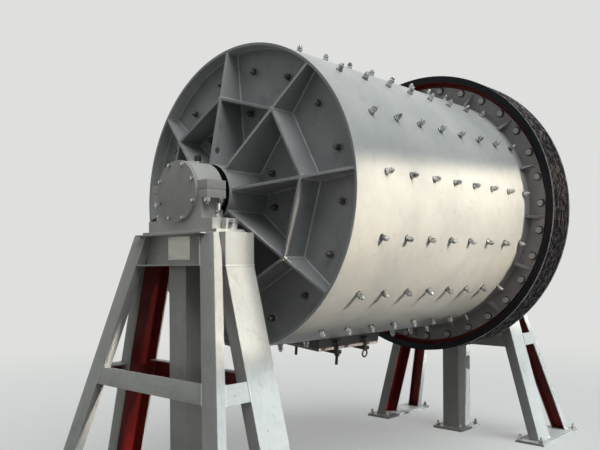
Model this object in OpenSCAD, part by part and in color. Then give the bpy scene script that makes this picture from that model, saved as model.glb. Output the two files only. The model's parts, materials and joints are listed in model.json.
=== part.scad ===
// Ball mill: a belt-driven grinding drum carried between two steel trestles.
// X runs along the drum axis, the feet stand on Z = 0, and the origin lies under the drum's middle.
// The near end is the one towards -X. The drive pulley is at the far end.

/* [Drum shell] */
// Outside radius of the drum shell
shell_r = 900; // [820:10:1000]
// Wall of the drum shell
shell_t = 16; // [10:1:24]
// Length of the drum shell
shell_l = 2200; // [2000:10:2600]
// Height of the drum axis above the floor
axis_h = 1820; // [1700:10:2200]
// Gap left at the seam between two pieces
seam = 0.3; // [0.1:0.1:0.6]

/* [Drum ends] */
// Depth from the rim of the shell to the end plate
end_recess = 80; // [50:5:120]
// Thickness of each end plate
end_t = 20; // [12:1:30]
// Number of ribs on each end
rib_n = 8; // [6:1:10]
// Angle of the first rib above the horizontal
rib_turn = 5.7; // [0:0.1:20]
// Thickness of the ribs and of the plates between them
rib_t = 16; // [10:1:25]
// Height of a rib at the hub, measured out from the rim of the shell
rib_proud = 200; // [120:5:205]
// Radius at which the plates of the polygon ring meet the ribs
ring_r = 585; // [450:5:700]
// Number of the rib that has the lifting hole, counted up from the first
hole_rib = 2; // [0:1:5]
// Radius of the lifting hole
hole_r = 20; // [10:1:25]
// Distance from the drum axis to the lifting hole
hole_at = 262; // [250:1:400]
// Distance from the middle of the lifting hole to the front edge of its rib
hole_edge = 37; // [35:1:60]
// Outside radius of the hub tube
hub_r = 171; // [150:1:200]
// Wall of the hub tube
hub_t = 30; // [15:1:50]
// Distance from the rim of the shell to the outer face of the hub
hub_proud = 216; // [210:1:230]
// Radius of the journal that runs in the bearing
journal_r = 90; // [60:1:120]
// Radial running clearance of the journal
journal_fit = 0.05; // [0.02:0.01:0.1]
// Distance from the end of the journal to the end cover
journal_end_gap = 12; // [5:1:30]

/* [Drive ring] */
// Distance from the flange that carries the pulley to the far rim of the shell
flange_back = 165; // [150:5:260]
// Thickness of the flange
flange_t = 30; // [16:1:40]
// Height of the flange above the shell
flange_h = 117; // [108:1:150]
// Number of gussets behind the flange
gusset_n = 16; // [8:1:24]
// Height of a gusset on the flange
gusset_h = 105; // [60:1:107]
// Length of a gusset along the shell
gusset_l = 65; // [50:1:120]
// Height of a gusset at its far end along the shell
gusset_toe = 12; // [10:1:30]
// Angle of the gussets above the middle between two rows of liner bolts
gusset_turn = 1.2; // [0:0.1:2]
// Radial gap between the flange and the pulley rim
rim_gap = 30; // [5:1:40]
// Thickness of the pulley rim
rim_t = 50; // [40:1:60]
// Width of the pulley rim
rim_w = 295; // [270:5:340]
// Distance that the rim reaches past the flange on the drum side
rim_lip = 57; // [0:1:60]
// Thickness of the pulley web
web_t = 30; // [16:1:40]
// Radial gap between the pulley web and the shell
web_gap = 15; // [5:1:40]
// Number of belt grooves
groove_n = 10; // [4:1:11]
// Distance from one belt groove to the next
groove_pitch = 25.5; // [24:0.5:27]
// Width of a belt groove at its mouth
groove_w = 22; // [16:1:23]
// Depth of a belt groove
groove_d = 22; // [12:1:23]
// Angle between the two flanks of a belt groove
groove_angle = 38; // [34:1:38]

/* [Manhole] */
// Distance from the near rim of the shell to the middle of the manhole
hatch_x = 965; // [500:5:1350]
// Angle of the manhole below the horizontal
hatch_turn = 95.5; // [60:0.1:120]
// Length of the manhole neck along the drum
hatch_l = 660; // [460:5:700]
// Width of the manhole neck around the drum
hatch_w = 340; // [240:5:420]
// Wall of the manhole neck
hatch_t = 20; // [12:1:30]
// Distance that the neck stands out from the shell
hatch_h = 50; // [40:1:90]
// Thickness of the manhole cover
cover_t = 18; // [10:1:30]
// Distance between the two clamp bars
clamp_span = 310; // [200:5:380]
// Width of a clamp bar along the drum
clamp_w = 50; // [40:1:70]
// Thickness of a clamp bar
clamp_t = 25; // [15:1:35]
// Distance that a clamp bar reaches past the neck at each end
clamp_over = 34; // [30:1:50]
// Radius of a clamp bolt
clamp_bolt_r = 10; // [6:1:12]
// Length of a clamp bolt outside its bar
clamp_tail = 75; // [40:5:100]
// Thickness of the ears on the neck that hold the clamp bolts
ear_t = 20; // [12:1:30]
// Radius of the ring of an eye nut, to the middle of its bar
eye_r = 25; // [18:1:28]
// Radius of the bar of an eye nut
eye_bar_r = 6; // [4:1:8]

/* [Bearing housings] */
// Distance from the rim of the shell to the middle of the bearing
bearing_x = 347; // [340:1:360]
// Width of the bearing housing along the shaft
housing_w = 176; // [150:1:180]
// Outside radius of the housing barrel
housing_r = 170; // [165:1:190]
// Height of the bearing axis above the foot of the housing
housing_h = 217; // [215:1:240]
// Width of the pedestal under the barrel, across the mill
pedestal_w = 390; // [350:5:430]
// Length of the pedestal along the shaft
pedestal_l = 98; // [80:1:130]
// Length of the housing foot across the mill
foot_l = 565; // [510:5:580]
// Thickness of the housing foot
foot_t = 62; // [40:1:80]
// Radius of the end cover
end_cover_r = 168; // [150:1:185]
// Thickness of the end cover
end_cover_t = 18; // [10:1:24]
// Distance across the mill between the cap bolts
cap_bolt_span = 444; // [430:1:450]
// Distance from a cap bolt to the end of its lug
lug_edge = 21; // [18:1:30]
// Height of a cap lug
lug_h = 48; // [30:1:60]
// Length of a cap lug along the shaft
lug_l = 130; // [110:1:140]
// Radius of the flat boss on top of the cap
boss_r = 22; // [10:1:30]
// Distance that the boss stands out from the barrel
boss_h = 6; // [3:1:12]
// Thickness of the plate under the housing
seat_t = 18; // [10:1:30]
// Length of the plate under the housing, across the mill
seat_l = 655; // [650:5:780]
// Distance from the edge of the trestle to the plate under the housing
seat_edge = 2; // [1:1:10]
// Distance from the foot of the housing to the block of an adjusting screw
jack_gap = 7; // [3:1:10]
// Width of the block of an adjusting screw along the mill
jack_w = 58; // [50:1:90]
// Thickness of the block of an adjusting screw
jack_t = 36; // [20:1:36]
// Height of the block of an adjusting screw
jack_h = 56; // [40:1:70]

/* [Trestles] */
// Height of the beams at the top of a trestle
beam_h = 175; // [140:5:220]
// Length of the inner beam across the mill
beam_l = 800; // [720:5:900]
// Wall of the inner beam and of the centre post
box_t = 9; // [6:1:14]
// Depth of the inner legs along the mill
inner_w = 200; // [180:5:200]
// Width of the flanges of an inner leg
inner_flange = 80; // [60:1:90]
// Thickness of the inner leg's steel
inner_t = 10; // [6:1:14]
// Width of the web of an outer leg
outer_w = 110; // [90:1:140]
// Width of the flanges of an outer leg
outer_flange = 55; // [40:1:60]
// Thickness of the outer leg's steel
outer_t = 8; // [5:1:12]
// Slope of all legs across the mill, as a share of their height
lean_y = 0.275; // [0.2:0.005:0.3]
// Slope of the outer legs along the mill, as a share of their height
lean_x = 0.215; // [0.18:0.005:0.25]
// Distance that the outer beam reaches out from the inner beam
outer_beam_d = 75; // [60:1:75]
// Width of the centre post across the mill
post_w = 150; // [100:5:200]
// Height of the middle of the braces above the floor
brace_z = 790; // [500:10:900]
// Height of a brace channel
brace_h = 100; // [80:5:120]
// Width of the flanges of a brace channel
brace_flange = 48; // [30:1:55]
// Thickness of the brace steel
brace_t = 7; // [5:1:10]
// Thickness of the sole plates on the floor
sole_t = 20; // [10:1:30]
// Distance that a sole plate reaches past the legs
sole_edge = 60; // [50:1:80]
// Radius of an anchor bolt hole
anchor_r = 12; // [8:0.5:16]
// Distance from an anchor hole to the edges of its plate
anchor_edge = 28; // [20:1:32]

/* [Hidden] */
$fn = 96;
// How far solids of one piece reach into each other, and cuts reach past them
lap = 1;

half_l = shell_l / 2;
shell_in = shell_r - shell_t;
plate_x = -half_l + end_recess;
end_face = plate_x - seam;
hub_x = -half_l - hub_proud;
bearing_mid = -half_l - bearing_x;
barrel_out = bearing_mid - housing_w / 2;
journal_end = barrel_out + journal_end_gap;
flange_x = half_l - flange_back;
flange_r = shell_r + flange_h;
rim_in = flange_r + rim_gap;
rim_r = rim_in + rim_t;
web_x = flange_x + flange_t;
hatch_out = shell_r + hatch_h;
cover_out = hatch_out + cover_t;
clamp_in = cover_out + seam;
clamp_out = clamp_in + clamp_t;
clamp_bolt_z = hatch_w / 2 + clamp_over / 2;
frame_out = bearing_mid - inner_w / 2;
frame_in = bearing_mid + inner_w / 2;
frame_top = axis_h - housing_h - seat_t;
beam_z = frame_top - beam_h;
leg_y = beam_l / 2;
leg_x = frame_out - outer_beam_d;
tilt_x = atan(lean_x);
tilt_y = atan(lean_y * cos(tilt_x));
side_tilt = atan(lean_y);
leg_far = 2 * axis_h;
groove_foot = groove_w - 2 * groove_d * tan(groove_angle / 2);

paint = "#B4B7B4";
shade_paint = "#8D8D88";
trestle_paint = "#918F86";
machined = "#3A312C";
dark_paint = "#55565A";

// A point at this angle above the horizontal on the camera's side, around the drum axis
module around(angle) rotate([-angle, 0, 0]) children();

// A cylinder along X from one place to another
module rod(x1, x2, r) translate([x1, 0, 0]) rotate([0, 90, 0]) cylinder(h = x2 - x1, r = r);

// Puts a piece that is drawn for the near end on either end
module end_of(far) mirror([far ? 1 : 0, 0, 0]) children();

module on_axis() translate([0, 0, axis_h]) children();

// Drum

module shell() color(paint) on_axis() difference() {
    rod(-half_l, half_l, shell_r);
    rod(-half_l - lap, half_l + lap, shell_in);
    at_hatch() translate([-hatch_l / 2 - seam, -2 * shell_r, -hatch_w / 2 - seam])
        cube([hatch_l + 2 * seam, 2 * shell_r, hatch_w + 2 * seam]);
}

module end_plate(far) color(shade_paint) on_axis() end_of(far) difference() {
    rod(plate_x, plate_x + end_t, shell_in - seam);
    rod(plate_x - lap, plate_x + end_t + lap, hub_r + seam);
}

// Where a rib's sloping front edge is, at a distance from the axis
function rib_front(r) = -half_l - rib_proud * (shell_in - r) / (shell_in - hub_r);

// Flat radial plates whose front edge falls from the hub to the rim, one with a lifting hole
module ribs(far) {
    from = hub_r + seam;
    to = shell_in - seam;
    color(shade_paint) on_axis() end_of(far)
        for (i = [0 : rib_n - 1]) around(rib_turn + i * 360 / rib_n)
            translate([0, 0, -rib_t / 2]) linear_extrude(height = rib_t) difference() {
                polygon([[end_face, -from], [end_face, -to], [rib_front(to), -to], [rib_front(from), -from]]);
                if (i == hole_rib) translate([rib_front(hole_at) + hole_edge, -hole_at]) circle(r = hole_r);
            }
}

// Plates between the ribs that close the polygon ring
module ring_plates(far) {
    half = 180 / rib_n;
    apothem = ring_r * cos(half);
    side = function (a) a * tan(half) - (rib_t / 2 + seam) / cos(half);
    color(shade_paint) on_axis() end_of(far)
        for (i = [0 : rib_n - 1]) around(rib_turn + half + i * 360 / rib_n)
            translate([rib_front(ring_r), 0, 0]) rotate([0, 90, 0])
                linear_extrude(height = end_face - rib_front(ring_r))
                    polygon([for (s = [[-1, -1], [-1, 1], [1, 1], [1, -1]])
                        [s[1] * side(apothem + s[0] * rib_t / 2), -apothem - s[0] * rib_t / 2]]);
}

// Hub tube with its end wall and the journal that runs in the bearing
module hub(far) color(shade_paint) on_axis() end_of(far) rotate([0, 90, 0])
    rotate_extrude() polygon([
        [0, journal_end], [journal_r, journal_end], [journal_r, hub_x], [hub_r, hub_x],
        [hub_r, plate_x + end_t], [hub_r - hub_t, plate_x + end_t],
        [hub_r - hub_t, hub_x + hub_t], [0, hub_x + hub_t]
    ]);

// Flange welded to the shell, with a triangular gusset between every two bolt rows
module drive_flange() color(dark_paint) on_axis() {
    foot = -shell_r - 2 * seam;
    rotate([0, 90, 0]) rotate_extrude()
        translate([shell_r + seam, flange_x]) square([flange_h - seam, flange_t]);
    for (i = [0 : gusset_n - 1]) around(rib_turn + gusset_turn + (i + 0.5) * 360 / gusset_n)
        translate([0, 0, -rib_t / 2]) linear_extrude(height = rib_t) polygon([
            [flange_x + lap, foot], [flange_x + lap, -shell_r - gusset_h], [flange_x, -shell_r - gusset_h],
            [flange_x - gusset_l, -shell_r - gusset_toe], [flange_x - gusset_l, foot]
        ]);
}

// Pulley rim with its V-belt grooves
module drive_rim() color(machined) on_axis() {
    x1 = flange_x - rim_lip;
    x2 = x1 + rim_w;
    first = (x1 + x2) / 2 - (groove_n - 1) * groove_pitch / 2;
    groove = [[0, groove_w / 2], [groove_d, groove_foot / 2], [groove_d, -groove_foot / 2], [0, -groove_w / 2]];
    rotate([0, 90, 0]) rotate_extrude() polygon(concat(
        [[rim_in, x1], [rim_in, x2], [rim_r, x2]],
        [for (i = [groove_n - 1 : -1 : 0], p = groove) [rim_r - p[0], first + i * groove_pitch + p[1]]],
        [[rim_r, x1]]
    ));
}

// Flat ring that carries the rim and bolts to the flange
module drive_web() color(machined) on_axis() rotate([0, 90, 0]) rotate_extrude()
    translate([shell_r + web_gap, web_x]) square([rim_in - seam - shell_r - web_gap, web_t]);

// Places what is drawn at -Y, middle at X = 0, at the manhole
module at_hatch() translate([-half_l + hatch_x, 0, 0]) around(-hatch_turn) children();

// Rectangular neck let into the shell, with ears for the clamp bolts
module manhole_neck() color(dark_paint) on_axis() difference() {
    at_hatch() {
        translate([-hatch_l / 2, -hatch_out, -hatch_w / 2]) cube([hatch_l, hatch_h + 2 * shell_t, hatch_w]);
        for (x = [-1, 1] * clamp_span / 2)
            translate([x - clamp_w / 2, -shell_r - ear_t, -hatch_w / 2 - clamp_over])
                cube([clamp_w, ear_t, hatch_w + 2 * clamp_over]);
    }
    at_hatch() translate([-hatch_l / 2 + hatch_t, -2 * shell_r, -hatch_w / 2 + hatch_t])
        cube([hatch_l - 2 * hatch_t, 2 * shell_r, hatch_w - 2 * hatch_t]);
    rod(-half_l, half_l, shell_in);
}

module manhole_cover() color(dark_paint) on_axis() at_hatch()
    translate([-hatch_l / 2, -cover_out, -hatch_w / 2]) cube([hatch_l, cover_t, hatch_w]);

// Two bars across the cover, one drawn down by long screws and one by eye nuts
module manhole_clamps() color(machined) on_axis() at_hatch()
    for (eye = [false, true]) translate([(eye ? 1 : -1) * clamp_span / 2, 0, 0]) {
        translate([-clamp_w / 2, -clamp_out, -hatch_w / 2 - clamp_over])
            cube([clamp_w, clamp_t, hatch_w + 2 * clamp_over]);
        for (z = [-1, 1] * clamp_bolt_z) {
            tail = eye ? clamp_bolt_r : clamp_tail;
            translate([0, -shell_r - ear_t - seam, z]) rotate([90, 0, 0])
                cylinder(h = clamp_out + tail - shell_r - ear_t - seam, r = clamp_bolt_r);
            if (eye) translate([0, -clamp_out - eye_r - eye_bar_r / 2, z])
                rotate_extrude() translate([eye_r, 0]) circle(r = eye_bar_r);
            else translate([0, -clamp_out + lap, z]) rotate([90, 0, 0])
                cylinder(h = clamp_bolt_r * 1.6, r = clamp_bolt_r * 1.8, $fn = 6);
        }
    }

// Bearings

// Upper half of the housing's barrel with the lugs for the cap bolts
module housing_half() {
    half_span = cap_bolt_span / 2 + lug_edge;
    intersection() {
        rod(barrel_out, barrel_out + housing_w, housing_r);
        translate([barrel_out, -housing_r, 0]) cube([housing_w, 2 * housing_r, housing_r]);
    }
    translate([barrel_out, -half_span, 0]) cube([lug_l, 2 * half_span, lug_h]);
}

module journal_bore() rod(barrel_out - lap, barrel_out + housing_w + lap, journal_r + journal_fit);

module bearing_cap(far) color(paint) on_axis() end_of(far) difference() {
    union() {
        housing_half();
        translate([bearing_mid, 0, lug_h]) cylinder(h = housing_r + boss_h - lug_h, r = boss_r);
    }
    journal_bore();
}

// Lower half on a pedestal that stands at the outer side of the foot
module bearing_base(far) color(paint) on_axis() end_of(far) difference() {
    union() {
        mirror([0, 0, 1]) housing_half();
        translate([barrel_out, -pedestal_w / 2, -housing_h]) cube([pedestal_l, pedestal_w, housing_h]);
        translate([barrel_out, -foot_l / 2, -housing_h]) cube([housing_w, foot_l, foot_t]);
    }
    journal_bore();
}

module end_cover(far) color(shade_paint) on_axis() end_of(far)
    rod(barrel_out - end_cover_t, barrel_out, end_cover_r);

// Plate between the housing and the beam, with the blocks that hold the adjusting screws
module bearing_seat(far) color(trestle_paint) on_axis() end_of(far) {
    translate([frame_out + seat_edge, -seat_l / 2, -housing_h - seat_t])
        cube([inner_w - 2 * seat_edge, seat_l, seat_t]);
    for (s = [0, 1]) mirror([0, s, 0])
        translate([bearing_mid - jack_w / 2, foot_l / 2 + jack_gap, -housing_h - lap])
            cube([jack_w, jack_t, jack_h + lap]);
}

// Trestles

// Channel section with its web along Y and its flanges towards +X
module channel(w, flange, t) difference() {
    square([flange, w]);
    translate([t, t]) square([flange, w - 2 * t]);
}

// The upright slab of space between the sole plates and a height
module between(z1, z2) translate([-2 * shell_l, -2 * shell_r, z1]) cube([4 * shell_l, 4 * shell_r, z2 - z1]);

// Places a section, drawn with its outer corner at the origin, along an outer leg
module along_outer_leg() translate([leg_x, -leg_y, beam_z]) rotate([-tilt_y, tilt_x, 0])
    translate([0, 0, -leg_far]) linear_extrude(height = leg_far * 1.5) children();

module along_inner_leg() translate([frame_out, -leg_y, beam_z]) rotate([-side_tilt, 0, 0])
    translate([0, 0, -leg_far]) linear_extrude(height = leg_far * 1.5) children();

module outer_leg(far, left) color(trestle_paint) end_of(far) mirror([0, left ? 1 : 0, 0])
    difference() {
        intersection() {
            along_outer_leg() channel(outer_w, outer_flange, outer_t);
            between(sole_t, frame_top);
        }
        translate([frame_out, -shell_r, 0]) cube([shell_r, 2 * shell_r, axis_h]);
    }

module inner_leg(far, left) color(trestle_paint) end_of(far) mirror([0, left ? 1 : 0, 0])
    intersection() {
        along_inner_leg() translate([inner_w, 0]) rotate(90) channel(inner_w, inner_flange, inner_t);
        between(sole_t, beam_z);
    }

// The space that a leg takes up, as a full rectangle with the seam gap around it
module outer_leg_space() for (s = [0, 1]) mirror([0, s, 0])
    along_outer_leg() translate([-seam, -seam]) square([outer_flange + 2 * seam, outer_w + 2 * seam]);

module inner_leg_space() for (s = [0, 1]) mirror([0, s, 0])
    along_inner_leg() translate([-seam, -seam]) square([inner_w + 2 * seam, inner_flange + 2 * seam]);

module inner_beam(far) color(trestle_paint) end_of(far)
    translate([frame_out, -beam_l / 2, beam_z]) difference() {
        cube([inner_w, beam_l, beam_h]);
        translate([box_t, box_t, box_t]) cube([inner_w - 2 * box_t, beam_l - 2 * box_t, beam_h - 2 * box_t]);
    }

// Channel back to back with the inner beam, its flanges outwards
module outer_beam(far) color(trestle_paint) end_of(far) difference() {
    translate([frame_out, -leg_y + outer_w, beam_z]) mirror([1, 0, 0]) rotate([90, 0, 0]) mirror([0, 0, 1])
        linear_extrude(height = 2 * (leg_y - outer_w)) channel(beam_h, outer_beam_d, outer_t);
    outer_leg_space();
}

module centre_post(far) color(trestle_paint) end_of(far)
    translate([frame_out, -post_w / 2, sole_t]) difference() {
        cube([inner_w, post_w, beam_z - sole_t]);
        translate([box_t, box_t, box_t])
            cube([inner_w - 2 * box_t, post_w - 2 * box_t, beam_z - sole_t - 2 * box_t]);
    }

// Channel in the plane of the outer legs, its web outwards
module outer_brace(far) {
    drop = beam_z - brace_z;
    reach = leg_y + lean_y * drop - outer_w / 2;
    color(trestle_paint) end_of(far) difference() {
        translate([leg_x - lean_x * drop, -reach, brace_z]) rotate([0, tilt_x, 0])
            translate([0, 0, -brace_h / 2]) rotate([90, 0, 0]) mirror([0, 0, 1])
                linear_extrude(height = 2 * reach) channel(brace_h, brace_flange, brace_t);
        outer_leg_space();
    }
}

// Channels from the centre post to the inner legs, open away from the drum
module inner_braces(far) {
    drop = beam_z - brace_z;
    reach = leg_y + lean_y * drop - inner_flange / 2;
    color(trestle_paint) end_of(far) for (s = [0, 1]) mirror([0, s, 0]) difference() {
        translate([frame_in, post_w / 2 + seam, brace_z - brace_h / 2]) mirror([1, 0, 0])
            rotate([90, 0, 0]) mirror([0, 0, 1])
                linear_extrude(height = reach - post_w / 2) channel(brace_h, brace_flange, brace_t);
        inner_leg_space();
    }
}

// Channels from the outer legs to the inner legs, their webs outwards
module side_braces(far) {
    drop = beam_z - brace_z;
    from = leg_x - lean_x * drop + outer_flange / 2;
    color(trestle_paint) end_of(far) for (s = [0, 1]) mirror([0, s, 0]) difference() {
        translate([from, -leg_y - lean_y * drop, brace_z]) rotate([-side_tilt, 0, 0])
            translate([0, 0, -brace_h / 2]) rotate([90, 0, 90])
                linear_extrude(height = frame_out - seam - from) channel(brace_h, brace_flange, brace_t);
        outer_leg_space();
    }
}

// A plate on the floor with an anchor hole near each corner
module sole_plate(l, w) difference() {
    cube([l, w, sole_t]);
    for (x = [anchor_edge, l - anchor_edge], y = [anchor_edge, w - anchor_edge])
        translate([x, y, -lap]) cylinder(h = sole_t + 2 * lap, r = anchor_r);
}

// Plates under each pair of legs and under the centre post
module sole_plates(far) {
    foot_y = leg_y + lean_y * (beam_z - sole_t);
    foot_x = leg_x - lean_x * (beam_z - sole_t);
    color(trestle_paint) end_of(far) {
        for (s = [0, 1]) mirror([0, s, 0]) translate([foot_x - sole_edge, -foot_y - sole_edge, 0])
            sole_plate(frame_in - foot_x + 2 * sole_edge, outer_w + 2 * sole_edge);
        translate([frame_out - sole_edge, -post_w / 2 - sole_edge, 0])
            sole_plate(inner_w + 2 * sole_edge, post_w + 2 * sole_edge);
    }
}

shell();
end_plate(false);  // near_end_plate
end_plate(true);  // far_end_plate
ribs(false);  // near_ribs
ribs(true);  // far_ribs
ring_plates(false);  // near_ring_plates
ring_plates(true);  // far_ring_plates
hub(false);  // near_hub
hub(true);  // far_hub
drive_flange();
drive_rim();
drive_web();
manhole_neck();
manhole_cover();
manhole_clamps();
bearing_base(false);  // near_bearing_base
bearing_cap(false);  // near_bearing_cap
end_cover(false);  // near_end_cover
bearing_seat(false);  // near_bearing_seat
bearing_base(true);  // far_bearing_base
bearing_cap(true);  // far_bearing_cap
end_cover(true);  // far_end_cover
bearing_seat(true);  // far_bearing_seat
inner_beam(false);  // near_inner_beam
outer_beam(false);  // near_outer_beam
centre_post(false);  // near_centre_post
outer_leg(false, true);  // near_outer_leg_left
outer_leg(false, false);  // near_outer_leg_right
inner_leg(false, true);  // near_inner_leg_left
inner_leg(false, false);  // near_inner_leg_right
outer_brace(false);  // near_outer_brace
inner_braces(false);  // near_inner_braces
side_braces(false);  // near_side_braces
sole_plates(false);  // near_sole_plates
inner_beam(true);  // far_inner_beam
outer_beam(true);  // far_outer_beam
centre_post(true);  // far_centre_post
outer_leg(true, true);  // far_outer_leg_left
outer_leg(true, false);  // far_outer_leg_right
inner_leg(true, true);  // far_inner_leg_left
inner_leg(true, false);  // far_inner_leg_right
outer_brace(true);  // far_outer_brace
inner_braces(true);  // far_inner_braces
side_braces(true);  // far_side_braces
sole_plates(true);  // far_sole_plates
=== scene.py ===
"""A belt-driven ball mill on two trestles: finishes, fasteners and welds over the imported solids."""

import json
import math

import bmesh
import bpy
from mathutils import Matrix, Vector

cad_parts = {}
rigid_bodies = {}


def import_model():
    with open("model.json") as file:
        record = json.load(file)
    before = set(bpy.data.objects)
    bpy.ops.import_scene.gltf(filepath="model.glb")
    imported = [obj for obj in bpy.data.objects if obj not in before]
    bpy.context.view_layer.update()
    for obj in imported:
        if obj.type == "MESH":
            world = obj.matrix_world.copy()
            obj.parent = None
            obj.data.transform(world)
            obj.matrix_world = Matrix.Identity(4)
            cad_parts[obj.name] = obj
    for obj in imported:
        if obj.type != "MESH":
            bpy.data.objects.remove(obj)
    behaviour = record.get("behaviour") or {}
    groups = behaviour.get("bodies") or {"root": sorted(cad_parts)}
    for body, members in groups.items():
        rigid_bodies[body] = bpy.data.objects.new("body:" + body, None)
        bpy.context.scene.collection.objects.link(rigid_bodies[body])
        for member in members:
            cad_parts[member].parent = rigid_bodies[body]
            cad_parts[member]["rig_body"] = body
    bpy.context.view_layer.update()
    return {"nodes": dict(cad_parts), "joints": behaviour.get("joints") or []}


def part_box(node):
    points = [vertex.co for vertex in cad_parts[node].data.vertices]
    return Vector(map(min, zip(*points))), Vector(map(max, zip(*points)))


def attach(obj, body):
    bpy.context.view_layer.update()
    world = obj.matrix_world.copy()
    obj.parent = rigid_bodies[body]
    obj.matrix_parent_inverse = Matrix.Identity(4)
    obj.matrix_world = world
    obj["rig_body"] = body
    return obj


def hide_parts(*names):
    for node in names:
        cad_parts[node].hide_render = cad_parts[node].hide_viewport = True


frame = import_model()
scene = bpy.context.scene
scene.view_settings.view_transform = "Standard"

# Camera: it stands off the corner of the near trestle at chest height and sees the drum's ribbed end.
# The lens is shifted upwards, because the horizon lies below the middle of the picture.
photo_width_px = 600
focal_length_px = 683.2
horizon_below_middle_px = 40
camera_place = Vector((-3.846, -3.033, 1.408))
camera_yaw, camera_pitch, camera_roll = 42.66, 0.05, -0.34
lens = bpy.data.cameras.new("camera")
lens.sensor_width = 36
lens.lens = lens.sensor_width * focal_length_px / photo_width_px
lens.shift_y = horizon_below_middle_px / photo_width_px
camera = bpy.data.objects.new("camera", lens)
scene.collection.objects.link(camera)
scene.camera = camera
camera.matrix_world = (
    Matrix.Translation(camera_place)
    @ Matrix.Rotation(math.radians(camera_yaw - 90), 4, "Z")
    @ Matrix.Rotation(math.radians(90 + camera_pitch), 4, "X")
    @ Matrix.Rotation(math.radians(camera_roll), 4, "Z")
)

# Studio: a plain pale floor in a dim room, a broad cool light overhead and softboxes on the camera's side.
# A warm one lights the drum, one more the top of each trestle, and a cool one what is lower down.
# Grids keep their light narrow, and it comes from the drive's side, so the ribbed end stays in shade.
floor_half = 30
floor_fade_from, floor_fade_to, floor_least_glow = 2.5, 9.0, 0.4
softbox_distance = 4.5
grid_spread = math.radians(2.5)


def add(tree, kind, inputs=None, **settings):
    """Adds a node. An input is a value, a socket, or a node whose first live output feeds it."""
    made = tree.nodes.new(kind)
    for key, value in settings.items():
        setattr(made, key, value)
    for key, value in (inputs or {}).items():
        if isinstance(value, bpy.types.Node):
            value = next(output for output in value.outputs if output.enabled)
        if isinstance(value, bpy.types.NodeSocket):
            tree.links.new(value, made.inputs[key])
        else:
            made.inputs[key].default_value = value
    return made


def colour(code):
    """The linear colour of an sRGB hex code."""
    parts = [int(code[i : i + 2], 16) / 255 for i in (1, 3, 5)]
    return [c / 12.92 if c <= 0.04045 else ((c + 0.055) / 1.055) ** 2.4 for c in parts] + [1.0]


def new_material(name):
    """A material, its node tree, and the socket there that says where each point of the piece is."""
    made = bpy.data.materials.new(name)
    made.use_nodes = True
    made.node_tree.nodes.clear()
    where = add(made.node_tree, "ShaderNodeTexCoord").outputs["Object"]
    return made, made.node_tree, where


def shows_background(tree):
    """1 for rays that show the background itself: from the camera, or by way of gloss or glass."""
    path = add(tree, "ShaderNodeLightPath").outputs
    shown = path["Is Camera Ray"]
    for other in ("Is Glossy Ray", "Is Transmission Ray"):
        shown = add(tree, "ShaderNodeMath", {0: shown, 1: path[other]}, operation="MAXIMUM")
    return shown


def direction(elevation, towards_drive):
    """The way to a light on the camera's side, at degrees above the floor and round towards the drive."""
    across, up = math.radians(towards_drive), math.radians(elevation)
    return Vector((math.sin(across) * math.cos(up), -math.cos(across) * math.cos(up), math.sin(up)))


def lamp(name, kind, strength, code, way):
    """A light that shines from this way."""
    light = bpy.data.lights.new(name, kind)
    light.energy = strength
    light.color = colour(code)[:3]
    made = bpy.data.objects.new(name, light)
    made.rotation_euler = way.to_track_quat("Z", "Y").to_euler()
    scene.collection.objects.link(made)
    return made


# The room lights the mill dimly, and is seen as a plain pale backdrop.
backdrop = colour("#DFE0DE")
room = bpy.data.worlds.new("room")
room.use_nodes = True
room_tree = room.node_tree
room_tree.nodes.clear()
dim = add(room_tree, "ShaderNodeBackground", {"Color": colour("#E3E8EA"), "Strength": 0.30})
pale = add(room_tree, "ShaderNodeBackground", {"Color": backdrop, "Strength": 1.0})
room_seen = add(room_tree, "ShaderNodeMixShader", {0: shows_background(room_tree), 1: dim, 2: pale})
add(room_tree, "ShaderNodeOutputWorld", {"Surface": room_seen})
scene.world = room

# The floor is matt paint that takes soft shadows near the mill and fades into the backdrop farther off.
floor_corners = [(x * floor_half, y * floor_half, 0) for x, y in ((-1, -1), (1, -1), (1, 1), (-1, 1))]
floor_mesh = bpy.data.meshes.new("floor")
floor_mesh.from_pydata(floor_corners, [], [(0, 1, 2, 3)])
floor = bpy.data.objects.new("floor", floor_mesh)
scene.collection.objects.link(floor)
floor_paint, floor_tree, floor_place = new_material("pale_floor_paint")
floor_on_show = shows_background(floor_tree)
floor_colour = add(
    floor_tree,
    "ShaderNodeMix",
    {"Factor": floor_on_show, "A": colour("#7C7A76"), "B": backdrop},
    data_type="RGBA",
)
floor_coat = add(floor_tree, "ShaderNodeBsdfDiffuse", {"Color": floor_colour})
floor_glow = add(floor_tree, "ShaderNodeEmission", {"Color": backdrop, "Strength": floor_on_show})
floor_way_off = add(floor_tree, "ShaderNodeVectorMath", {0: floor_place}, operation="LENGTH")
floor_fade = add(
    floor_tree,
    "ShaderNodeMapRange",
    {
        "Value": floor_way_off,
        "From Min": floor_fade_from,
        "From Max": floor_fade_to,
        "To Min": floor_least_glow,
        "To Max": 1.0,
    },
    interpolation_type="SMOOTHSTEP",
)
floor_seen = add(floor_tree, "ShaderNodeMixShader", {0: floor_fade, 1: floor_coat, 2: floor_glow})
add(floor_tree, "ShaderNodeOutputMaterial", {"Surface": floor_seen})
floor_mesh.materials.append(floor_paint)

overhead = lamp("overhead", "SUN", 2.2, "#EFF3F4", direction(60, -6))
overhead.data.angle = math.radians(50)

# The softboxes leave out the floor, which would show the edges of what they light.
softbox_way = direction(25, 9)
off_softboxes = bpy.data.collections.new("not_lit_by_softboxes")
off_softboxes.objects.link(floor)
off_softboxes.collection_objects[0].light_linking.link_state = "EXCLUDE"


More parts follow.
